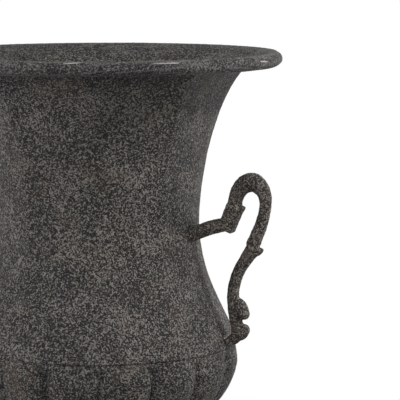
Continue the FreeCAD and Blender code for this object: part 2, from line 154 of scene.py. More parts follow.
def draw_profile(name, points):
    """A closed chain of edges in the XZ plane through (radius, height) points."""
    start_clean()
    bpy.ops.mesh.primitive_plane_add(size=MM)
    piece = named(bpy.context.object, name)
    bpy.ops.object.mode_set(mode="EDIT")
    bpy.ops.mesh.select_mode(type="VERT")
    bpy.ops.mesh.select_all(action="SELECT")
    bpy.ops.mesh.merge(type="CENTER")
    bpy.ops.transform.translate(value=(points[0][0], 0, points[0][1]))
    for here, there in zip(points, points[1:]):
        step = (there[0] - here[0], 0, there[1] - here[1])
        bpy.ops.mesh.extrude_vertices_move(TRANSFORM_OT_translate={"value": step})
    bpy.ops.object.mode_set(mode="OBJECT")
    count = len(piece.data.vertices)
    for vertex in piece.data.vertices:
        vertex.select = vertex.index in (0, count - 1)
    bpy.ops.object.mode_set(mode="EDIT")
    bpy.ops.mesh.select_mode(type="VERT")
    bpy.ops.mesh.edge_face_add()
    return piece


def turn_profile(name, points, steps):
    """Spins a closed profile about Z into a closed wall whose faces point outwards."""
    piece = draw_profile(name, points)
    bpy.ops.mesh.select_all(action="SELECT")
    bpy.ops.mesh.spin(steps=steps, angle=2 * math.pi, center=(0, 0, 0), axis=(0, 0, 1))
    bpy.ops.mesh.select_all(action="SELECT")
    bpy.ops.mesh.remove_doubles(threshold=0.01 * MM)
    bpy.ops.mesh.normals_make_consistent(inside=False)
    bpy.ops.object.mode_set(mode="OBJECT")
    bpy.ops.object.shade_smooth()
    return piece


def reshape(piece, rule):
    """Moves every point of a piece by a rule that takes and returns an array of points."""
    mesh = piece.data
    points = np.zeros(len(mesh.vertices) * 3)
    mesh.vertices.foreach_get("co", points)
    mesh.vertices.foreach_set("co", np.asarray(rule(points.reshape(-1, 3))).ravel())
    mesh.update()


def polar(points):
    """Distance from the Z axis and angle about it."""
    return np.hypot(points[:, 0], points[:, 1]), np.arctan2(points[:, 1], points[:, 0])


def drawn_in(points, scale):
    return np.stack([points[:, 0] * scale, points[:, 1] * scale, points[:, 2]], axis=1)


def smooth_step(value, low, high):
    share = np.clip((value - low) / (high - low), 0, 1)
    return share * share * (3 - 2 * share)


def evenly(points, spacing):
    """Points at an even spacing along a finely drawn open line."""
    points = np.array(points)
    length = np.concatenate([[0], np.cumsum(np.hypot(*np.diff(points, axis=0).T))])
    places = np.linspace(0, length[-1], max(2, round(length[-1] / spacing) + 1))
    return [(float(np.interp(s, length, points[:, 0])), float(np.interp(s, length, points[:, 1])))
            for s in places]


# %% [markdown]
# ## The skin that sand leaves
# Iron that was poured in sand is nowhere smooth: the mould gives slow waves, and its grains give a pitted
# skin. The slow waves and the coarser grit are real shape here, pushed into the mesh by two Displace
# modifiers that are applied. The finest grains are left to the material.

# %% Cast skin as real displacement
def cloud(name, size, depth):
    texture = bpy.data.textures.new(name, "CLOUDS")
    texture.noise_scale = size
    texture.noise_depth = depth
    return texture


mould_waves = cloud("mould_waves", 34 * MM, 1)
sand_grit = cloud("sand_grit", 4.2 * MM, 2)


def cast_skin(piece, wave=0.7 * MM, grit=0.55 * MM):
    pick(piece)
    for texture, strength in ((mould_waves, wave), (sand_grit, grit)):
        push = piece.modifiers.new(texture.name, "DISPLACE")
        push.texture = texture
        push.texture_coords = "LOCAL"
        push.strength = strength
        push.mid_level = 0.5
        bpy.ops.object.modifier_apply(modifier=push.name)


# %% [markdown]
# ## The neck casting
# The neck flares from a waist out to the lip and down to the shoulder. It isn't round: eight panels, two
# wide ones that carry the handles and six narrower ones, are nearly flat in the upper flare and melt into
# a round lip and a round shoulder. A lathe can't do that, so the profile over the ridges is turned first,
# and then each point is drawn in by how near it lies to the middle of its panel.

# %% The neck's profile and wall
side_panel = math.radians(61)
front_panel = (math.pi - side_panel) / 3
flare_start_power = 1.59
flare_end_power = 0.492
shoulder_swell = 1.33
panel_flatness = 0.9
panel_fade_power = 1.3
panel_end = 0.95
panel_end_fade = 0.35
ridge_softness = 1.6 * MM
mesh_step = 2.1 * MM


def flare(share):
    rise = (1 - (1 - share) ** (1 / flare_end_power)) ** (1 / flare_start_power)
    return waist_radius + (lip_radius - waist_radius) * share, waist_z + (lip_under_z - waist_z) * rise


def shoulder(share):
    swell = share ** 2 * (1 + shoulder_swell * share ** 2 * (1 - share))
    return waist_radius + (shoulder_radius - waist_radius) * swell, waist_z + (seam_z - waist_z) * share


fine = 400
waist_crowding = 1.5
neck_line = [shoulder(1 - k / fine) for k in range(fine)]
neck_line += [flare((k / fine) ** waist_crowding) for k in range(fine + 1)]
neck_outside = evenly(neck_line, mesh_step)


def inwards(points, wall):
    """The same line moved inwards, square to itself, by a wall's thickness."""
    line = np.array(points)
    along = np.gradient(line, axis=0)
    along /= np.linalg.norm(along, axis=1)[:, None]
    return [tuple(p) for p in line + wall * np.stack([-along[:, 1], along[:, 0]], axis=1)]


foot_round = 1.2 * MM
edge_round = 0.2 * MM
edge_inset = 0.3 * MM
neck_inside = evenly(inwards(neck_line, neck_wall), 1.6 * mesh_step)
neck_inside = [p for p in neck_inside if p[1] > seam_z + foot_round][::-1]
lip_edge = [(lip_radius - edge_inset, lip_under_z + edge_round),
            (lip_radius - edge_inset, neck_high.z - edge_round)]
foot_edge = [(shoulder_radius - neck_wall, seam_z), (shoulder_radius - foot_round, seam_z)]
neck_profile = ([(shoulder_radius - edge_round, seam_z + foot_round)]
                + [p for p in neck_outside if p[1] > seam_z + 1.5 * foot_round][:-1]
                + lip_edge + neck_inside + foot_edge)
neck_steps = 380
neck = turn_profile("neck_casting", neck_profile, neck_steps)
print("neck profile points:", len(neck_profile), "faces:", len(neck.data.polygons))

# %% Panels drawn in between the ridges
panel_widths = 2 * [side_panel, front_panel, front_panel, front_panel]
ridge_angles = -side_panel / 2 + np.concatenate([[0], np.cumsum(panel_widths)])
ridge_line = np.array(neck_line)


def in_panel(angle):
    """Half width of the panel that each angle lies in, and how far from its middle it lies, 0 to 1."""
    turned = np.mod(angle - ridge_angles[0], 2 * math.pi) + ridge_angles[0]
    index = np.clip(np.searchsorted(ridge_angles, turned, side="right") - 1, 0, len(panel_widths) - 1)
    half = np.array(panel_widths)[index] / 2
    return half, np.abs(turned - ridge_angles[index] - half) / half


def flatness(radius, height):
    rise = np.clip((height - seam_z) / (lip_under_z - seam_z), 0, 1)
    spread = np.where(height > waist_z, (radius - waist_radius) / (lip_radius - waist_radius), 0)
    return panel_flatness * rise ** panel_fade_power * np.clip((panel_end - spread) / panel_end_fade, 0, 1)


def panel_the_neck(points):
    radius, angle = polar(points)
    half, share = in_panel(angle)
    flat = flatness(np.clip(radius, waist_radius, lip_radius), points[:, 2])
    to_ridge = (1 - share) * half * radius
    blend = np.where(to_ridge < ridge_softness, (to_ridge ** 2 + ridge_softness ** 2) / (2 * ridge_softness),
                     to_ridge) / (half * radius)
    bow = 1 - np.clip(1 - blend, 0, 1) ** 2
    scale = 1 - flat * (1 - np.cos(half)) * bow
    return drawn_in(points, scale)


reshape(neck, panel_the_neck)
print("ridges at", np.round(np.degrees(ridge_angles[:-1]), 1))

# %% Cast skin on the neck, and the rim's slight tilt
high_side = math.radians(75)
rim_drop = 0.6 * MM
tilt_start_z = waist_z + 60 * MM


def rim_tilt(points):
    """The real lip isn't quite level: one side stands a little higher, which carries down into the flare."""
    weight = smooth_step(points[:, 2], tilt_start_z, roll_z)
    out = points.copy()
    out[:, 2] += weight * rim_drop * (np.cos(polar(points)[1] - high_side) - 1)
    return out


cast_skin(neck)
reshape(neck, rim_tilt)

# %% [markdown]
# ## The rolled lip
# The lip is a band that rises out of the neck's inside, turns over at a thin crest and curls down round a
# wire. Its outside carries long slanting streaks, like a slack rope, where the iron was rolled over. The
# band is turned from a hooked profile, and the crest, the streaks and a short open crease are then pushed
# into it by rules that depend on where a point lies round the curl.

# %% The hooked profile
curl_wall = 1.6 * MM
crest_height = 0.7 * MM
curl_radius = roll_radius - crest_height
slot_half = neck_wall / 2 + 0.3 * MM
apron_start = 164 * MM
apron_sink = 0.25 * MM
apron_points = 16
apron_back_points = 8
slope_step = 4 * MM
inside_line = np.array([p for p in neck_inside[::-1] if p[1] > waist_z])
apron_low = float(np.interp(apron_start, inside_line[:, 0], inside_line[:, 1])) - apron_sink
ahead = float(np.interp(apron_start + slope_step, inside_line[:, 0], inside_line[:, 1])) - apron_sink
apron_slope = (ahead - apron_low) / slope_step


def apron(share, drop):
    """The band between the neck's inside and the crest: an S-shaped curve, level at the crest."""
    width = roll_centre_radius - apron_start
    top = roll_z + curl_radius
    blend = share * share * (3 - 2 * share)
    height = apron_low + (top - apron_low) * blend + apron_slope * width * share * (1 - share) ** 2
    return apron_start + width * share, height - drop * share


def curl_arc(radius, start, end, count):
    return [(roll_centre_radius + radius * math.cos(t), roll_z + radius * math.sin(t))
            for t in np.linspace(math.radians(start), math.radians(end), count)]


curl_end = -180 + math.degrees(math.asin(slot_half / curl_radius))
# Start, end and number of points. The crest and the underside carry the finest relief.
crest_arc = (90, 62, 11)
side_arc = (58, -78, 32)
under_arc = (-81, curl_end, 22)
inner_arc = (curl_end, 90, 14)
lip_steps = 720
lip_profile = [apron(k / apron_points, 0) for k in range(apron_points)]
for stretch in (crest_arc, side_arc, under_arc):
    lip_profile += curl_arc(curl_radius, *stretch)
lip_profile += curl_arc(curl_radius - curl_wall, *inner_arc)
lip_profile += [apron(k / apron_back_points, curl_wall) for k in range(apron_back_points - 1, 0, -1)]
lip = turn_profile("rolled_lip", lip_profile, lip_steps)
print("lip faces:", len(lip.data.polygons))

# %% Crest, streaks and an open crease
streak_length = 45 * MM
streak_width = 3.4 * MM
streak_height = 2.2 * MM
streak_limit = 0.1
side_sink = 0.25 * MM
rope_waves = 4
rope_swing = 1.1
rope_start = math.radians(67)
calm_least = 0.4
calm_scale = 3
calm_slice = 7
calm_range = (-0.35, 0.15)
reach_inside = 2 * MM
side_fade_low = 0.3
side_fade_high = 0.2
crest_turn = math.radians(82)
crest_half_width = math.radians(5)
skin_room = 0.25 * MM
bead_turn = math.radians(-84)
bead_half_width = math.radians(8)
bead_height = 0.3 * MM
crease_turn = math.radians(97)
crease_half_width = math.radians(5)
crease_depth = 0.35 * MM
crease_opening = 1.2 * MM
crease_middle = math.radians(-92)
crease_half_length = math.radians(5)


def bump_at(turn, middle, half_width):
    return np.exp(-((turn - middle) / half_width) ** 2)


def noise_at(places):
    return np.array([noise.noise(Vector(place)) for place in places])


def work_the_lip(points):
    """Moves the curl's outside to or from the wire. The turn is the angle round the wire."""
    radius, around_z = polar(points)
    out_r, out_z = radius - roll_centre_radius, points[:, 2] - roll_z
    depth, turn = np.hypot(out_r, out_z), np.arctan2(out_z, out_r)
    shown = (depth > curl_radius - curl_wall / 2) & (out_r > -reach_inside)
    across = turn - rope_swing * np.sin(rope_waves * (around_z + rope_start))
    strands = noise_at(np.stack([roll_centre_radius * np.cos(around_z) / streak_length,
                                 roll_centre_radius * np.sin(around_z) / streak_length,
                                 across * curl_radius / streak_width], axis=1)[shown])
    quiet = noise_at(np.stack([calm_scale * np.cos(around_z), calm_scale * np.sin(around_z),
                               np.full_like(around_z, calm_slice)], axis=1)[shown])
    calm = calm_least + (1 - calm_least) * smooth_step(quiet, *calm_range)
    turn, around_z = turn[shown], around_z[shown]
    crest = bump_at(turn, crest_turn, crest_half_width)
    bead = bump_at(turn, bead_turn, bead_half_width)
    crease = bump_at(turn, crease_turn, crease_half_width)
    opened = 1 - smooth_step(np.abs(around_z - crease_middle), 0.6 * crease_half_length, crease_half_length)
    side = smooth_step(turn, bead_turn, bead_turn + side_fade_low)
    side = side * (1 - smooth_step(turn, crest_turn - side_fade_high, crest_turn))
    grow = (streak_height * calm * np.minimum(strands, streak_limit) * side - side_sink * side
            + (crest_height - skin_room) * crest + bead_height * bead
            - crease * (crease_depth + crease_opening * opened))
    scale = np.ones(len(points))
    scale[shown] = (depth[shown] + grow) / depth[shown]
    new_r = roll_centre_radius + out_r * scale
    return np.stack([points[:, 0] * new_r / radius, points[:, 1] * new_r / radius,
                     roll_z + out_z * scale], axis=1)


reshape(lip, work_the_lip)
cast_skin(lip, wave=0.3 * MM, grit=0.4 * MM)
reshape(lip, rim_tilt)

# %% [markdown]
# ## The lobed bowl
# Sixteen lobes swell out of the bowl like the petals of a bud. They are deepest at the belly, run
# together at the foot, and end in round arched tops just under the seam. The bowl is turned to the
# profile over the lobes' crowns, and the valleys are then pushed in.

# %% The bowl's profile and wall
bowl_seat_radius = 42 * MM
bowl_floor = 6 * MM
bowl_wall = 10.3 * MM
belly_z = bowl_low.z + 101.9 * MM
seat_turn = math.acos(bowl_seat_radius / belly_radius)
curve_depth = (belly_z - bowl_low.z) / math.sin(seat_turn)
lobe_count = 16
lobe_depth = 10 * MM
lobe_roundness = 2.6
valley_softness = 0.004
arch_top = seam_z - 1 * MM
arch_height = 22 * MM
top_fade = 0.8
top_fade_start = seam_z - 14 * MM
spigot_outside = 140.3 * MM
spigot_inside = 136.3 * MM


def bowl_curve(turn, side, depth):
    return side * math.cos(turn), belly_z - depth * math.sin(turn)


bowl_line = [bowl_curve(seat_turn * (1 - k / fine), belly_radius, curve_depth) for k in range(fine)]
bowl_line += [(belly_radius - (belly_radius - shoulder_radius) * (k / fine) ** 2,
               belly_z + (seam_z - belly_z) * k / fine) for k in range(fine + 1)]
hollow_side = belly_radius - bowl_wall
hollow_lift = 4.3 * MM
hollow_depth = curve_depth - hollow_lift
floor_z = bowl_low.z + bowl_floor
floor_turn = math.asin((belly_z - floor_z) / hollow_depth)
hollow_line = [bowl_curve(floor_turn * k / fine, hollow_side, hollow_depth) for k in range(fine + 1)]
rod_hole = 5.6 * MM
outside_points = evenly(bowl_line, mesh_step)
hollow_points = evenly(hollow_line, 1.8 * mesh_step)
spigot = [(spigot_outside, seam_z - 0.2 * MM), (spigot_outside, bowl_high.z), (spigot_inside, bowl_high.z),
          (spigot_inside, seam_z - 6 * MM)]
floor_points = evenly([hollow_points[-1], (rod_hole, floor_z)], 3 * mesh_step)[1:]
seat_points = evenly([(rod_hole, bowl_low.z), outside_points[0]], 3 * mesh_step)[:-1]
bowl_profile = outside_points + spigot + hollow_points + floor_points + seat_points
bowl_steps = 384
bowl = turn_profile("bowl_casting", bowl_profile, bowl_steps)
print("bowl profile points:", len(bowl_profile), "faces:", len(bowl.data.polygons))


# %% Valleys between the lobes
def press_the_valleys(points):
    """Sinks the outside between the lobes. The crown is the profile's radius at that height."""
    radius, angle = polar(points)
    turn = np.arcsin(np.clip((belly_z - points[:, 2]) / curve_depth, 0, 1))
    above = np.clip((points[:, 2] - belly_z) / (seam_z - belly_z), 0, 1)
    crown = np.where(points[:, 2] < belly_z, belly_radius * np.cos(turn),
                     belly_radius - (belly_radius - shoulder_radius) * above ** 2)
    skin = (radius > crown - 1.5 * MM) & (points[:, 2] < seam_z + 0.1 * MM)
    across = np.abs(np.mod(angle * lobe_count / (2 * math.pi), 1) - 0.5) * 2
    arch = np.clip((points[:, 2] - (arch_top - arch_height)) / arch_height, 0, None)
    inner = np.clip(1 - across ** lobe_roundness - np.minimum(arch, 1) ** 2, 0, 1)
    dome = np.sqrt(inner + valley_softness)
    shoulder_fade = 1 - top_fade * smooth_step(points[:, 2], top_fade_start, arch_top)
    depth = lobe_depth * np.sqrt(np.clip(crown / belly_radius, 0, 1)) * shoulder_fade
    sink = np.where(skin, depth * (1 - dome), 0)
    scale = (radius - sink) / radius
    return drawn_in(points, scale)


reshape(bowl, press_the_valleys)
cast_skin(bowl)
print("lobes:", lobe_count, "with valleys up to", lobe_depth, "m deep")

# %% [markdown]
# ## The handles
# A handle is one casting: an arm that rises from the neck, an elbow block, a thick crook that bends over
# and down, a collar with a leaf-shaped spur, and a thin S-shaped limb with two leaf lumps that ends on
# the shoulder. Bars of changing thickness are quickest as curves with a round bevel. They are turned
# into meshes, joined with the blocks and lumps, and remeshed into one skin.

# %% Bars, blocks and lumps
def neck_radius_at(height):
    """Outside radius of the neck at the middle of a side panel."""
    line = ridge_line[np.argsort(ridge_line[:, 1])]
    radius = float(np.interp(height, line[:, 1], line[:, 0]))
    flat = float(flatness(np.array([radius]), np.array([height]))[0])
    return radius * (1 - flat * (1 - math.cos(side_panel / 2)))


arm_z = waist_z - 10.1 * MM
foot_z = seam_z + 10.5 * MM
arm_root = Vector((neck_radius_at(arm_z), 0, arm_z))
foot_root = Vector((neck_radius_at(foot_z), 0, foot_z))
print("arm root", arm_root, "foot root", foot_root)


def bar(name, root, stations):
    """A round bar through stations of (outwards, upwards, radius) in millimetres from its root."""
    start_clean()
    bpy.ops.curve.primitive_bezier_curve_add()
    piece = named(bpy.context.object, name)
    piece.location = (0, 0, 0)
    line = piece.data.splines[0]
    line.bezier_points.add(len(stations) - len(line.bezier_points))
    for point, (out, up, radius) in zip(line.bezier_points, stations):
        point.co = (root.x + out * MM, 0, root.z + up * MM)
        point.radius = radius
        point.handle_left_type = point.handle_right_type = "AUTO"
    piece.data.bevel_depth = MM
    piece.data.bevel_resolution = 5
    piece.data.resolution_u = 10
    piece.data.use_fill_caps = True
    bpy.ops.object.convert(target="MESH")
    return bpy.context.object


def lump(name, root, place, half_sizes, tilt):
    """A round lump with three half sizes in millimetres, tilted in the handle's plane."""
    start_clean()
    spot = (root.x + place[0] * MM, 0, root.z + place[1] * MM)
    bpy.ops.mesh.primitive_uv_sphere_add(segments=32, ring_count=20, radius=MM, location=spot,
                                         rotation=(0, math.radians(tilt), 0))
    piece = named(bpy.context.object, name)
    piece.scale = half_sizes
    settle()
    return piece


def block(name, root, place, sizes, tilt, taper, rounding):
    """A bevelled block with three sizes in millimetres, narrowed at its lower end."""
    start_clean()
    spot = (root.x + place[0] * MM, 0, root.z + place[1] * MM)
    bpy.ops.mesh.primitive_cube_add(size=MM, location=spot, rotation=(0, math.radians(tilt), 0))
    piece = named(bpy.context.object, name)
    piece.scale = sizes
    choose_faces(piece, lambda face: face.normal.z < -0.5)
    centre = piece.matrix_world @ Vector((0, 0, -0.5 * MM))
    bpy.ops.transform.resize(value=(taper, taper, 1), orient_type="LOCAL", center_override=centre)
    bpy.ops.object.mode_set(mode="OBJECT")
    settle()
    return bevelled(piece, rounding * MM, 4)


# %% The right handle
# Each bar is a row of (outwards, upwards, radius) in millimetres.
arm_bar = [(-3, -1.6, 9.6), (6, 1.4, 8.4), (13, 3.5, 7.9), (19, 6.0, 8.0), (30, 9.2, 7.9), (42, 12.0, 7.4)]
crook_bar = [(47.6, 22, 8.4), (50.0, 31, 8.2), (51.5, 40, 7.8), (55.7, 49.7, 9.0), (63.2, 56.4, 10.2),
             (71.0, 58.0, 10.6), (78.6, 53.6, 9.1), (84.0, 45, 7.3), (85.1, 35, 6.6), (83.4, 24, 6.7),
             (79.8, 11.5, 7.0), (75.0, 0, 7.4), (72.4, -7.0, 7.6)]
scroll_top = [(73.0, -6, 6.4), (69.6, -15.5, 8.0), (63.6, -24.5, 7.2)]
scroll_bottom = [(15.2, 75, 6.6), (10.6, 62, 6.6), (8.6, 49.5, 6.7), (9.2, 38, 7.0), (11.2, 24, 7.2),
                 (13.8, 11, 6.8), (11.4, 2.4, 6.3), (5, -1.6, 5.6), (-3, -3.0, 5.4)]
rise = foot_root - arm_root
scroll = scroll_top + [(out + rise.x / MM, up + rise.z / MM, size) for out, up, size in scroll_bottom]
parts = [
    bar("arm", arm_root, arm_bar),
    bar("crook", arm_root, crook_bar),
    bar("scroll", arm_root, scroll),
    block("elbow", arm_root, (46.0, 19.0), (17.8, 16, 30), 22.5, 0.95, 2.0),
    block("elbow_lip", arm_root, (57.0, 29.0), (7.5, 13, 6.5), 24, 0.95, 1.6),
    lump("collar_bump", arm_root, (69.6, -6.0), (5.2, 7.8, 7.6), 22),
    lump("collar_rim", arm_root, (72.4, -13.6), (8.9, 8.6, 2.7), 4),
    lump("spur", arm_root, (74.6, -17.4), (9.2, 5.6, 4.2), -26),
    lump("upper_leaf", foot_root, (16.6, 35.0), (8.2, 8.4, 12.5), -32),
    lump("upper_leaf_tip", foot_root, (21.4, 28.6), (6.0, 7.0, 6.3), 0),
    lump("lower_leaf", foot_root, (16.4, 9.2), (9.6, 8.4, 9.6), 20),
    lump("lower_leaf_tip", foot_root, (21.4, 11.2), (6.0, 7.0, 6.6), 0),
]
handle_right = joined(parts, "handle_casting_right")
print("handle parts joined:", len(parts))


# %% One skin over all of them
def remesh_as_one(piece, voxel, rounds):
    pick(piece)
    skin = piece.modifiers.new("one_skin", "REMESH")
    skin.mode = "VOXEL"
    skin.voxel_size = voxel
    skin.use_smooth_shade = True
    bpy.ops.object.modifier_apply(modifier=skin.name)
    soften = piece.modifiers.new("soften", "SMOOTH")
    soften.factor = 0.5
    soften.iterations = rounds
    bpy.ops.object.modifier_apply(modifier=soften.name)


remesh_as_one(handle_right, 0.85 * MM, 3)
cast_skin(handle_right, wave=0.5 * MM, grit=0.75 * MM)
print("handle faces:", len(handle_right.data.polygons))

# %% Its twin, turned half round
pick(handle_right)
bpy.ops.object.duplicate(linked=False)
handle_left = named(bpy.context.object, "handle_casting_left")
handle_left.rotation_euler = (0, 0, math.pi)
settle()

# %% [markdown]
# ## Pedestal and plinth
# Both are below the photograph, so they are plain: a stem with a knop and a torus, and a square block
# with rounded edges that is hollow underneath. The stem is turned from arcs, and the plinth is a block
# whose underside is inset and pushed up.

# %% The pedestal
def arc(centre, radii, start, end, count):
    """Points on an ellipse about (radius, height), between two angles in degrees."""
    return [(centre[0] + radii[0] * math.cos(math.radians(start + (end - start) * k / count)),
             centre[1] + radii[1] * math.sin(math.radians(start + (end - start) * k / count)))
            for k in range(count + 1)]


foot_low, foot_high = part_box("pedestal")
knop_top = foot_high.z - 3 * MM
knop_low = knop_top - 16 * MM
knop_z = (knop_top + knop_low) / 2
torus_low = foot_low.z + 4 * MM
torus_top = torus_low + 18 * MM
torus_middle = (85 * MM, (torus_low + torus_top) / 2)
seat_radius = 36 * MM
stem_radius = 31 * MM
base_radius = 89 * MM
base_inside = 79 * MM
cove_width = 53 * MM
stem_wall = 5 * MM
cove_top = knop_low - 6 * MM
cove_height = cove_top - torus_top
seat_line = [(28 * MM, foot_high.z), (35.2 * MM, foot_high.z), (seat_radius, foot_high.z - 0.8 * MM),
             (seat_radius, knop_top)]
knop_line = arc((seat_radius, knop_z), (9 * MM, 8 * MM), 90, -90, 14)[1:-1]
stem_line = [(seat_radius, knop_low), (stem_radius + 1.5 * MM, knop_low), (stem_radius, knop_low - 1.5 * MM)]
cove_line = arc((84 * MM, cove_top), (cove_width, cove_height), 180, 270, 40) + [(84.6 * MM, torus_top)]
torus_line = arc(torus_middle, (9 * MM, 9 * MM), 88, -88, 18) + [(base_radius, torus_low)]
base_line = [(base_radius, foot_low.z), (base_inside, foot_low.z), (base_inside, torus_top - stem_wall)]
inside_cove = arc((base_inside, cove_top), (cove_width, cove_height + stem_wall), 270, 180, 24)[1:]
pedestal_line = (seat_line + knop_line + stem_line + cove_line + torus_line + base_line + inside_cove
                 + [(26 * MM, knop_z)])
pedestal_steps = 260
pedestal_profile = evenly(pedestal_line + pedestal_line[:1], 2.4 * MM)[:-1]
pedestal = turn_profile("pedestal_casting", pedestal_profile, pedestal_steps)
cast_skin(pedestal)
print("pedestal faces:", len(pedestal.data.polygons))

# %% The plinth
plinth_size = plinth_high.x - plinth_low.x
plinth_wall = 5 * MM
edge_rounding = 6.5 * MM
corner_share = 0.4
start_clean()
bpy.ops.mesh.primitive_cube_add(size=plinth_size, location=(0, 0, plinth_size / 2))
plinth = named(bpy.context.object, "plinth_casting")
plinth.scale.z = plinth_high.z / plinth_size
plinth.location.z = plinth_high.z / 2
settle()
choose_faces(plinth, lambda face: face.normal.z < -0.5)
bpy.ops.mesh.inset(thickness=plinth_wall)
bpy.ops.mesh.extrude_region_move(TRANSFORM_OT_translate={"value": (0, 0, plinth_high.z - plinth_wall)})
bpy.ops.object.mode_set(mode="OBJECT")
outer_edges = plinth.modifiers.new("round_edges", "BEVEL")
outer_edges.width = edge_rounding
outer_edges.segments = 5
outer_edges.limit_method = "WEIGHT"
outer_edges.use_clamp_overlap = True
weights = plinth.data.attributes.new("bevel_weight_edge", "FLOAT", "EDGE")
for edge in plinth.data.edges:
    ends = [plinth.data.vertices[v].co for v in edge.vertices]
    on_top = all(end.z > plinth_high.z - MM for end in ends)
    upright = abs(ends[0].x - ends[1].x) < MM and abs(ends[0].y - ends[1].y) < MM
    outer = all(abs(end.x) > plinth_size / 2 - MM and abs(end.y) > plinth_size / 2 - MM for end in ends)
    weights.data[edge.index].value = 1.0 if on_top else (corner_share if upright and outer else 0.0)
bpy.ops.object.modifier_apply(modifier=outer_edges.name)
remesh_as_one(plinth, 1.9 * MM, 2)
cast_skin(plinth)


def press_flat(points):
    """The skin may not stand out of the plinth's sides or underside."""
    out = points.copy()
    out[:, 2] = np.clip(out[:, 2], plinth_low.z, None)
    out[:, :2] = np.clip(out[:, :2], plinth_low.x, plinth_high.x)
    return out


reshape(plinth, press_flat)
print("plinth faces:", len(plinth.data.polygons))

# %% [markdown]
# ## Lugs and pads inside
# Four lugs inside the neck sit on four on the bowl's spigot, and a bolt goes through each pair. Round
# pads take the handles' screws. They are seen only from above, so bevelled blocks and discs will do.

# %% Lugs and screw pads
lug_length = 21 * MM
lug_width = 22 * MM
pad_radius = 12.5 * MM
arm_pad_depth = 4 * MM
foot_pad_depth = 4.5 * MM
pad_bite = 2.5 * MM


def lug(name, outer_radius, low, high):
    start_clean()
    place = (outer_radius - lug_length / 2, 0, low + (high - low) / 2)
    bpy.ops.mesh.primitive_cube_add(size=1, location=place)
    piece = named(bpy.context.object, name)
    piece.scale = (lug_length, lug_width, high - low)
    settle()
    return bevelled(piece, 1.2 * MM, 3)


def pad(name, x, z, depth):
    start_clean()
    place = (x + depth / 2, 0, z)
    bpy.ops.mesh.primitive_cylinder_add(vertices=48, radius=pad_radius, depth=depth, location=place,
                                        rotation=(0, math.pi / 2, 0))
    piece = named(bpy.context.object, name)
    settle()
    return bevelled(piece, 0.8 * MM, 3)


def around(piece, count, first_angle, name):
    """Copies a piece evenly about the urn's axis and joins the copies."""
    copies = []
    for k in range(count):
        pick(piece)
        bpy.ops.object.duplicate(linked=False)
        copy = bpy.context.object
        copy.rotation_euler.z = math.radians(first_angle + 360 * k / count)
        settle()
        copies.append(copy)
    bpy.data.objects.remove(piece)
    return joined(copies, name)


washers_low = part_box("shoulder_washers")[0]
arm_low, arm_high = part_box("handle_arm_screws")
foot_screw_low, foot_screw_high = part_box("handle_foot_screws")
arm_screw_z = (arm_low.z + arm_high.z) / 2
foot_screw_z = (foot_screw_low.z + foot_screw_high.z) / 2
arm_pad_x = neck_radius_at(arm_screw_z) - neck_wall - pad_bite
neck_lugs = around(lug("neck_lug", spigot_outside, bowl_high.z, washers_low.z), 4, 45, "neck_lugs")
bowl_lugs = around(lug("bowl_lug", spigot_inside + 2 * MM, seam_z, bowl_high.z), 4, 45, "bowl_lugs")
arm_pads = around(pad("arm_pad", arm_pad_x, arm_screw_z, arm_pad_depth), 2, 0, "arm_pads")
foot_pads = around(pad("foot_pad", spigot_inside - pad_bite, foot_screw_z, foot_pad_depth), 2, 0, "foot_pads")
print("lugs end under the washers at", round(washers_low.z, 4))

# %% [markdown]
# ## The finish
# The iron is a dark charcoal with a crowd of pale beige-grey grains, about two millimetres across, and
# soft patches where it is a little browner. A picture wrapped round each casting could show that too, but
# it would stretch on the flare and the handles. Noise that is read at a point's own place in space does
# not. One node group, sand_skin, makes the grains, the patches and the height of the skin, and every
# casting uses it with its own colours and amounts.

# %% Node groups that all materials share
def new_group(name, inputs, outputs):
    group = bpy.data.node_groups.new(name, "ShaderNodeTree")
    for title, kind, value in inputs:
        socket = group.interface.new_socket(title, in_out="INPUT", socket_type=kind)
        if value is not None:
            socket.default_value = value
    for title, kind in outputs:
        group.interface.new_socket(title, in_out="OUTPUT", socket_type=kind)
    return group, group.nodes.new("NodeGroupInput"), group.nodes.new("NodeGroupOutput")


def feed(tree, socket, value):
    """Gives a socket either a fixed value or a link."""
    if isinstance(value, (int, float, tuple)):
        socket.default_value = value
    else:
        tree.links.new(value, socket)


def math_node(tree, operation, first, second=0.0):
    node = tree.nodes.new("ShaderNodeMath")
    node.operation = operation
    for socket, value in zip(node.inputs, (first, second)):
        feed(tree, socket, value)
    return node.outputs[0]


def noise_node(tree, vector, scale, detail, roughness=0.5):
    node = tree.nodes.new("ShaderNodeTexNoise")
    node.inputs["Scale"].default_value = scale
    node.inputs["Detail"].default_value = detail
    node.inputs["Roughness"].default_value = roughness
    tree.links.new(vector, node.inputs["Vector"])
    return node.outputs["Fac"]


def range_node(tree, value, low, high, to_low=0.0, to_high=1.0):
    node = tree.nodes.new("ShaderNodeMapRange")
    node.interpolation_type = "SMOOTHSTEP"
    for title, number in (("From Min", low), ("From Max", high), ("To Min", to_low), ("To Max", to_high)):
        node.inputs[title].default_value = number
    tree.links.new(value, node.inputs["Value"])
    return node.outputs["Result"]


def mix_node(tree, share, first, second, blend="MIX"):
    node = tree.nodes.new("ShaderNodeMix")
    node.data_type = "RGBA"
    node.blend_type = blend
    for title, value in (("Factor", share), ("A", first), ("B", second)):
        feed(tree, node.inputs[title], value)
    return node.outputs["Result"]


# Noise scales count waves per metre, so a larger one is finer.
coarse_grain_scale = 330
fine_grain_scale = 640
coarse_share = 0.4
grain_range = (0.445, 0.64)
crowd_scale = 30
crowd_range = (0.35, 0.7, -0.02, 0.022)
patch_scale = 17
patch_range = (0.3, 0.7)
brown_scale = 24
brown_range = (0.55, 0.72)


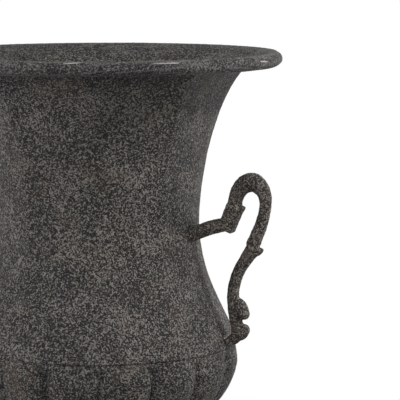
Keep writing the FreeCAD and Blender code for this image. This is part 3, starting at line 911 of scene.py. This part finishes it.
def sand_skin_group():
    """Grains: 1 on a pale grain. Patches: slow light and dark. Brown: where rust shows. Height: the skin."""
    tree, given, made = new_group(
        "sand_skin", [("Vector", "NodeSocketVector", None)],
        [("Grains", "NodeSocketFloat"), ("Patches", "NodeSocketFloat"), ("Brown", "NodeSocketFloat"),
         ("Height", "NodeSocketFloat")])
    place = given.outputs["Vector"]
    coarse = noise_node(tree, place, coarse_grain_scale, 2.0, 0.6)
    fine_grain = noise_node(tree, place, fine_grain_scale, 1.0)
    coarse_part = math_node(tree, "MULTIPLY", coarse, coarse_share)
    fine_part = math_node(tree, "MULTIPLY", fine_grain, 1 - coarse_share)
    both = math_node(tree, "ADD", coarse_part, fine_part)
    crowd = noise_node(tree, place, crowd_scale, 3.0)
    lifted = math_node(tree, "ADD", both, range_node(tree, crowd, *crowd_range))
    grains = range_node(tree, lifted, *grain_range)
    patches = noise_node(tree, place, patch_scale, 3.0)
    brown = range_node(tree, noise_node(tree, place, brown_scale, 4.0), *brown_range)
    tree.links.new(grains, made.inputs["Grains"])
    tree.links.new(range_node(tree, patches, *patch_range), made.inputs["Patches"])
    tree.links.new(brown, made.inputs["Brown"])
    tree.links.new(both, made.inputs["Height"])
    return tree


sand_skin = sand_skin_group()


# %% A cast iron material from the group
dark_patch = (0.92, 0.92, 0.94, 1)
pale_patch = (1.08, 1.07, 1.05, 1)
rough_ground = 0.74
rough_grain = 0.56
iron_shine = 0.15


def skin_material(name):
    material = bpy.data.materials.new(name)
    material.use_nodes = True
    tree = material.node_tree
    coordinates = tree.nodes.new("ShaderNodeTexCoord")
    skin = tree.nodes.new("ShaderNodeGroup")
    skin.node_tree = sand_skin
    tree.links.new(coordinates.outputs["Object"], skin.inputs["Vector"])
    return material, tree, tree.nodes["Principled BSDF"], skin


def cast_iron(name, dark, pale, brown, brown_share, bump=1.6 * MM):
    material, tree, shader, skin = skin_material(name)
    iron = mix_node(tree, skin.outputs["Grains"], (*dark, 1), (*pale, 1))
    patches = mix_node(tree, skin.outputs["Patches"], dark_patch, pale_patch)
    patched = mix_node(tree, 1.0, iron, patches, "MULTIPLY")
    share = math_node(tree, "MULTIPLY", skin.outputs["Brown"], brown_share)
    tree.links.new(mix_node(tree, share, patched, (*brown, 1)), shader.inputs["Base Color"])
    roughness = range_node(tree, skin.outputs["Grains"], 0, 1, rough_ground, rough_grain)
    tree.links.new(roughness, shader.inputs["Roughness"])
    relief = tree.nodes.new("ShaderNodeBump")
    relief.inputs["Strength"].default_value = 1.0
    relief.inputs["Distance"].default_value = bump
    tree.links.new(skin.outputs["Height"], relief.inputs["Height"])
    tree.links.new(relief.outputs["Normal"], shader.inputs["Normal"])
    shader.inputs["Metallic"].default_value = 0.0
    shader.inputs["Specular IOR Level"].default_value = iron_shine
    return material


charcoal = (0.0105, 0.0102, 0.0108)
grain_beige = (0.185, 0.171, 0.156)
rust_brown = (0.075, 0.052, 0.041)
rim_dark, rim_pale = (0.014, 0.0137, 0.0142), (0.15, 0.143, 0.137)
handle_dark, handle_pale, handle_rust = (0.021, 0.0185, 0.0172), (0.215, 0.192, 0.17), (0.13, 0.088, 0.068)
neck_iron = cast_iron("neck_iron", charcoal, grain_beige, rust_brown, 0.18)
rim_iron = cast_iron("rim_iron", rim_dark, rim_pale, rust_brown, 0.1, 1.0 * MM)
bowl_iron = cast_iron("bowl_iron", charcoal, grain_beige, rust_brown, 0.4)
handle_iron = cast_iron("handle_iron", handle_dark, handle_pale, handle_rust, 0.5)
foot_iron = cast_iron("foot_iron", charcoal, grain_beige, rust_brown, 0.3)


# %% [markdown]
# ## Steel fixings
# Bolts, screws, washers, nuts, the bar, the wire and the rod are plain steel that has stood in the wet.
# They hide inside the urn or under it, so one tarnished metal with rust in the same patches is enough.

# %% The steel of bolts, screws and the rod
tarnish_dark = (0.3, 0.29, 0.28, 1)
tarnish_pale = (0.42, 0.41, 0.4, 1)
steel_rust = (0.16, 0.1, 0.07, 1)


def dull_steel(name):
    material, tree, shader, skin = skin_material(name)
    rust = skin.outputs["Brown"]
    tarnish = mix_node(tree, skin.outputs["Patches"], tarnish_dark, tarnish_pale)
    tree.links.new(mix_node(tree, rust, tarnish, steel_rust), shader.inputs["Base Color"])
    tree.links.new(range_node(tree, rust, 0, 1, 0.42, 0.8), shader.inputs["Roughness"])
    tree.links.new(range_node(tree, rust, 0, 1, 0.85, 0.2), shader.inputs["Metallic"])
    return material


bare_steel = dull_steel("bare_steel")
print("materials:", len(bpy.data.materials))

# %% [markdown]
# ## The lip's streaks and painted highlights
# The crest and the lower bead of the lip are painted paler as a highlight, and pale streaks run along
# the way that the band was rolled. They could be picked by hand, face by face. Here the shader works out
# the same angle round the wire that shaped the lip, so that the highlight and the streaks lie exactly on the
# shape.

# %% Painted highlight on the crest and pale streaks on the rolled lip
# Where the painted highlight starts, is full, starts to fade and has ended, in degrees round the wire.
crest_highlight = (50, 66, 88, 100)
bead_highlight = (-62, -72, -76, -86)
bead_share = 0.7
highlight_breakup_scale = 60
highlight_breakup_range = (0.35, 0.6, 0.25, 1.0)
streak_range = (0.5, 0.72)
streak_grey = (0.13, 0.125, 0.12, 1)
# The colour of the painted highlight on the crest and the lower bead.
crest_highlight_grey = (0.125, 0.12, 0.113, 1)
mark_strength = 0.5


def highlight_band(tree, turn, start, full, fade, end):
    rising = range_node(tree, turn, math.radians(start), math.radians(full))
    falling = range_node(tree, turn, math.radians(fade), math.radians(end), 1.0, 0.0)
    return math_node(tree, "MULTIPLY", rising, falling)


def streaks_and_highlight_group():
    """Crest: 1 where the crest and the lower bead get their painted highlight. Streaks: 1 on a pale streak,
    which follows the shape's strands.
    """
    tree, given, made = new_group("streaks_and_crest_highlight", [("Vector", "NodeSocketVector", None)],
                                  [("Crest", "NodeSocketFloat"), ("Streaks", "NodeSocketFloat")])
    split = tree.nodes.new("ShaderNodeSeparateXYZ")
    tree.links.new(given.outputs["Vector"], split.inputs[0])
    x, y, z = split.outputs
    squares = math_node(tree, "ADD", math_node(tree, "MULTIPLY", x, x), math_node(tree, "MULTIPLY", y, y))
    flat = math_node(tree, "SQRT", squares)
    lean_x = math_node(tree, "MULTIPLY", x, rim_drop * math.cos(high_side) / roll_centre_radius)
    lean_y = math_node(tree, "MULTIPLY", y, rim_drop * math.sin(high_side) / roll_centre_radius)
    lean = math_node(tree, "ADD", lean_x, lean_y)
    up = math_node(tree, "SUBTRACT", math_node(tree, "SUBTRACT", z, roll_z - rim_drop), lean)
    turn = math_node(tree, "ARCTAN2", up, math_node(tree, "SUBTRACT", flat, roll_centre_radius))
    way = math_node(tree, "ARCTAN2", y, x)
    # The painted highlight: a band on the crest and a weaker one on the lower bead, broken up by noise.
    top = highlight_band(tree, turn, *crest_highlight)
    low = math_node(tree, "MULTIPLY", highlight_band(tree, turn, *bead_highlight), bead_share)
    highlight_breakup = range_node(tree, noise_node(tree, given.outputs["Vector"], highlight_breakup_scale, 2.0), *highlight_breakup_range)
    edges = math_node(tree, "MULTIPLY", math_node(tree, "ADD", top, low), highlight_breakup)
    wave = math_node(tree, "MULTIPLY", math_node(tree, "ADD", way, rope_start), rope_waves)
    swing = math_node(tree, "MULTIPLY", math_node(tree, "SINE", wave), rope_swing)
    across = math_node(tree, "SUBTRACT", turn, swing)
    place = tree.nodes.new("ShaderNodeCombineXYZ")
    shares = (1 / streak_length, 1 / streak_length, curl_radius / streak_width)
    for socket, value, share in zip(place.inputs, (x, y, across), shares):
        tree.links.new(math_node(tree, "MULTIPLY", value, share), socket)
    streaks = range_node(tree, noise_node(tree, place.outputs[0], 1.0, 2.0), *streak_range)
    tree.links.new(edges, made.inputs["Crest"])
    tree.links.new(streaks, made.inputs["Streaks"])
    return tree


def lay_streaks_and_highlights(material):
    """Lays the streaks and the painted highlight of the crest and the lower bead over the colour that the
    iron already has.
    """
    tree = material.node_tree
    shader = tree.nodes["Principled BSDF"]
    marks = tree.nodes.new("ShaderNodeGroup")
    marks.node_tree = streaks_and_highlight_group()
    tree.links.new(tree.nodes.new("ShaderNodeTexCoord").outputs["Object"], marks.inputs["Vector"])
    skin_colour = shader.inputs["Base Color"].links[0].from_socket
    streak_share = math_node(tree, "MULTIPLY", marks.outputs["Streaks"], mark_strength)
    streaked = mix_node(tree, streak_share, skin_colour, streak_grey)
    # The painted highlight is mixed over the streaked colour here.
    crest_share = math_node(tree, "MULTIPLY", marks.outputs["Crest"], mark_strength)
    highlighted = mix_node(tree, crest_share, streaked, crest_highlight_grey)
    tree.links.new(highlighted, shader.inputs["Base Color"])


lay_streaks_and_highlights(rim_iron)

# %% [markdown]
# ## Handing the pieces to the frame
# Each new casting rides on the only body, stands for its node, and names the slot that it takes its
# finish from. The steel pieces are the frame's own nodes and only change their material.

# %% Ride, replace and paint
finishes = {"neck_iron": neck_iron, "rim_iron": rim_iron, "bowl_iron": bowl_iron, "handle_iron": handle_iron,
            "foot_iron": foot_iron}
castings = [
    (neck, "neck_bell", "neck_iron"), (lip, "rim_roll", "rim_iron"), (bowl, "lobed_bowl", "bowl_iron"),
    (handle_right, "handle_right", "handle_iron"), (handle_left, "handle_left", "handle_iron"),
    (pedestal, "pedestal", "foot_iron"), (plinth, "plinth", "foot_iron"),
    (neck_lugs, "neck_bell", "neck_iron"), (arm_pads, "neck_bell", "neck_iron"),
    (bowl_lugs, "lobed_bowl", "bowl_iron"), (foot_pads, "lobed_bowl", "bowl_iron"),
]
for piece, node, slot in castings:
    piece.data.materials.clear()
    piece.data.materials.append(finishes[slot])
    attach(piece, "root")
    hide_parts(node)
replaced = {node for _, node, _ in castings}
for name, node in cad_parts.items():
    if name not in replaced:
        node.data.materials.clear()
        node.data.materials.append(bare_steel)
print("castings:", len(castings), "steel nodes:", len(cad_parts) - len(replaced))

# %% [markdown]
# ## Floor and background
# The photograph has a plain white ground. The floor takes the urn's shadow close to the plinth and
# fades into pure white further out. What lights the urn is not that white but a dark grey, so that the
# underside of the flare stays as dark as it is in the photograph. A large white card could stand behind
# the urn instead, but it would throw its light on the iron as well.

# %% A round floor that fades into white
floor_radius = 3.0
fade_start = 0.25
fade_end = 1.1
floor_seen = 0.9
floor_bounce = 0.2
world_fill = 0.22
start_clean()
bpy.ops.mesh.primitive_circle_add(vertices=96, radius=floor_radius, fill_type="NGON")
floor = named(bpy.context.object, "floor")


def grey(value):
    return value, value, value, 1


def seen_directly(tree):
    """1 for what the camera sees, also in a reflection or through glass, and 0 for scattered light."""
    path = tree.nodes.new("ShaderNodeLightPath")
    seen = math_node(tree, "MAXIMUM", path.outputs["Is Camera Ray"], path.outputs["Is Glossy Ray"])
    return math_node(tree, "MAXIMUM", seen, path.outputs["Is Transmission Ray"])


def floor_material():
    material = bpy.data.materials.new("pale_floor")
    material.use_nodes = True
    tree = material.node_tree
    tree.nodes.clear()
    seen = seen_directly(tree)
    matt = tree.nodes.new("ShaderNodeBsdfDiffuse")
    tree.links.new(mix_node(tree, seen, grey(floor_bounce), grey(floor_seen)), matt.inputs["Color"])
    glow = tree.nodes.new("ShaderNodeEmission")
    tree.links.new(mix_node(tree, seen, grey(floor_bounce), grey(1)), glow.inputs["Color"])
    coordinates = tree.nodes.new("ShaderNodeTexCoord")
    distance = tree.nodes.new("ShaderNodeVectorMath")
    distance.operation = "LENGTH"
    tree.links.new(coordinates.outputs["Object"], distance.inputs[0])
    both = tree.nodes.new("ShaderNodeMixShader")
    tree.links.new(range_node(tree, distance.outputs["Value"], fade_start, fade_end), both.inputs[0])
    tree.links.new(matt.outputs[0], both.inputs[1])
    tree.links.new(glow.outputs[0], both.inputs[2])
    output = tree.nodes.new("ShaderNodeOutputMaterial")
    tree.links.new(both.outputs[0], output.inputs["Surface"])
    return material


floor.data.materials.append(floor_material())


def set_world(fill):
    world = bpy.data.worlds.new("studio")
    world.use_nodes = True
    bpy.context.scene.world = world
    tree = world.node_tree
    background = tree.nodes["Background"]
    colour = mix_node(tree, seen_directly(tree), grey(fill), grey(1))
    tree.links.new(colour, background.inputs["Color"])
    background.inputs["Strength"].default_value = 1.0


set_world(world_fill)
print("floor fades out between", fade_start, "and", fade_end, "m, fill", world_fill)

# %% [markdown]
# ## Camera and lamps
# The photograph was taken from a little above the rim, from far away, with the right handle turned
# towards the camera. The picture's centre is off the urn's axis, so the camera looks past the urn
# rather than shifting its lens. The small lamp on the right draws the handle's crisp shadow on the neck.
# Low and large ones on both sides and in front show the ridges and leave the flare dark under the rim.

# %% The camera
picture_size = 400
sensor_width = 36
focal_pixels = 2200
horizon_row = -59.1
axis_column = 99.65
camera_azimuth = math.radians(23)
camera_distance = 2.398
camera_above_rim = 118.2 * MM

camera_data = bpy.data.cameras.new("camera")
camera = bpy.data.objects.new("camera", camera_data)
bpy.context.scene.collection.objects.link(camera)
camera_data.sensor_width = sensor_width
camera_data.lens = sensor_width * focal_pixels / picture_size
camera_data.clip_end = 50
pitch = math.atan((picture_size / 2 - horizon_row) / focal_pixels)
yaw = math.atan((picture_size / 2 - axis_column) / focal_pixels / math.cos(pitch))
camera.location = (camera_distance * math.sin(camera_azimuth), -camera_distance * math.cos(camera_azimuth),
                   cad_high.z + camera_above_rim)
camera.rotation_euler = (math.pi / 2 - pitch, 0, camera_azimuth - yaw)
bpy.context.scene.camera = camera
print("lens", camera_data.lens, "mm")


# %% The lamps
def soft_box(name, azimuth, elevation, distance, size, strength):
    """A square lamp that faces the urn's waist. The azimuth counts from the camera's side, to the right."""
    lamp = bpy.data.lights.new(name, "AREA")
    lamp.shape = "SQUARE"
    lamp.size = size
    lamp.energy = strength
    holder = bpy.data.objects.new(name, lamp)
    turn = camera_azimuth + math.radians(azimuth)
    lift = math.radians(elevation)
    away = Vector((math.sin(turn) * math.cos(lift), -math.cos(turn) * math.cos(lift), math.sin(lift)))
    aim = Vector((0, 0, waist_z))
    holder.location = aim + away * distance
    holder.rotation_euler = away.to_track_quat("Z", "Y").to_euler()
    bpy.context.scene.collection.objects.link(holder)


# Azimuth and elevation in degrees, distance and size in metres, strength in watts.
soft_box("right_box", 62, 36, 2.2, 0.16, 34)
soft_box("right_fill", 92, 4, 2.4, 0.8, 17)
soft_box("left_box", -80, 9, 2.4, 1.2, 30)
soft_box("front_box", -20, 8, 3.0, 1.0, 33)
bpy.context.scene.view_settings.view_transform = "Standard"

# %% [markdown]
# ## The frame's box
# The dressed urn must stay inside the frame's box, whose corners are written down here.

# %% Sizes, and the end
print("cad", [round(v, 4) for v in (*cad_low, *cad_high)])
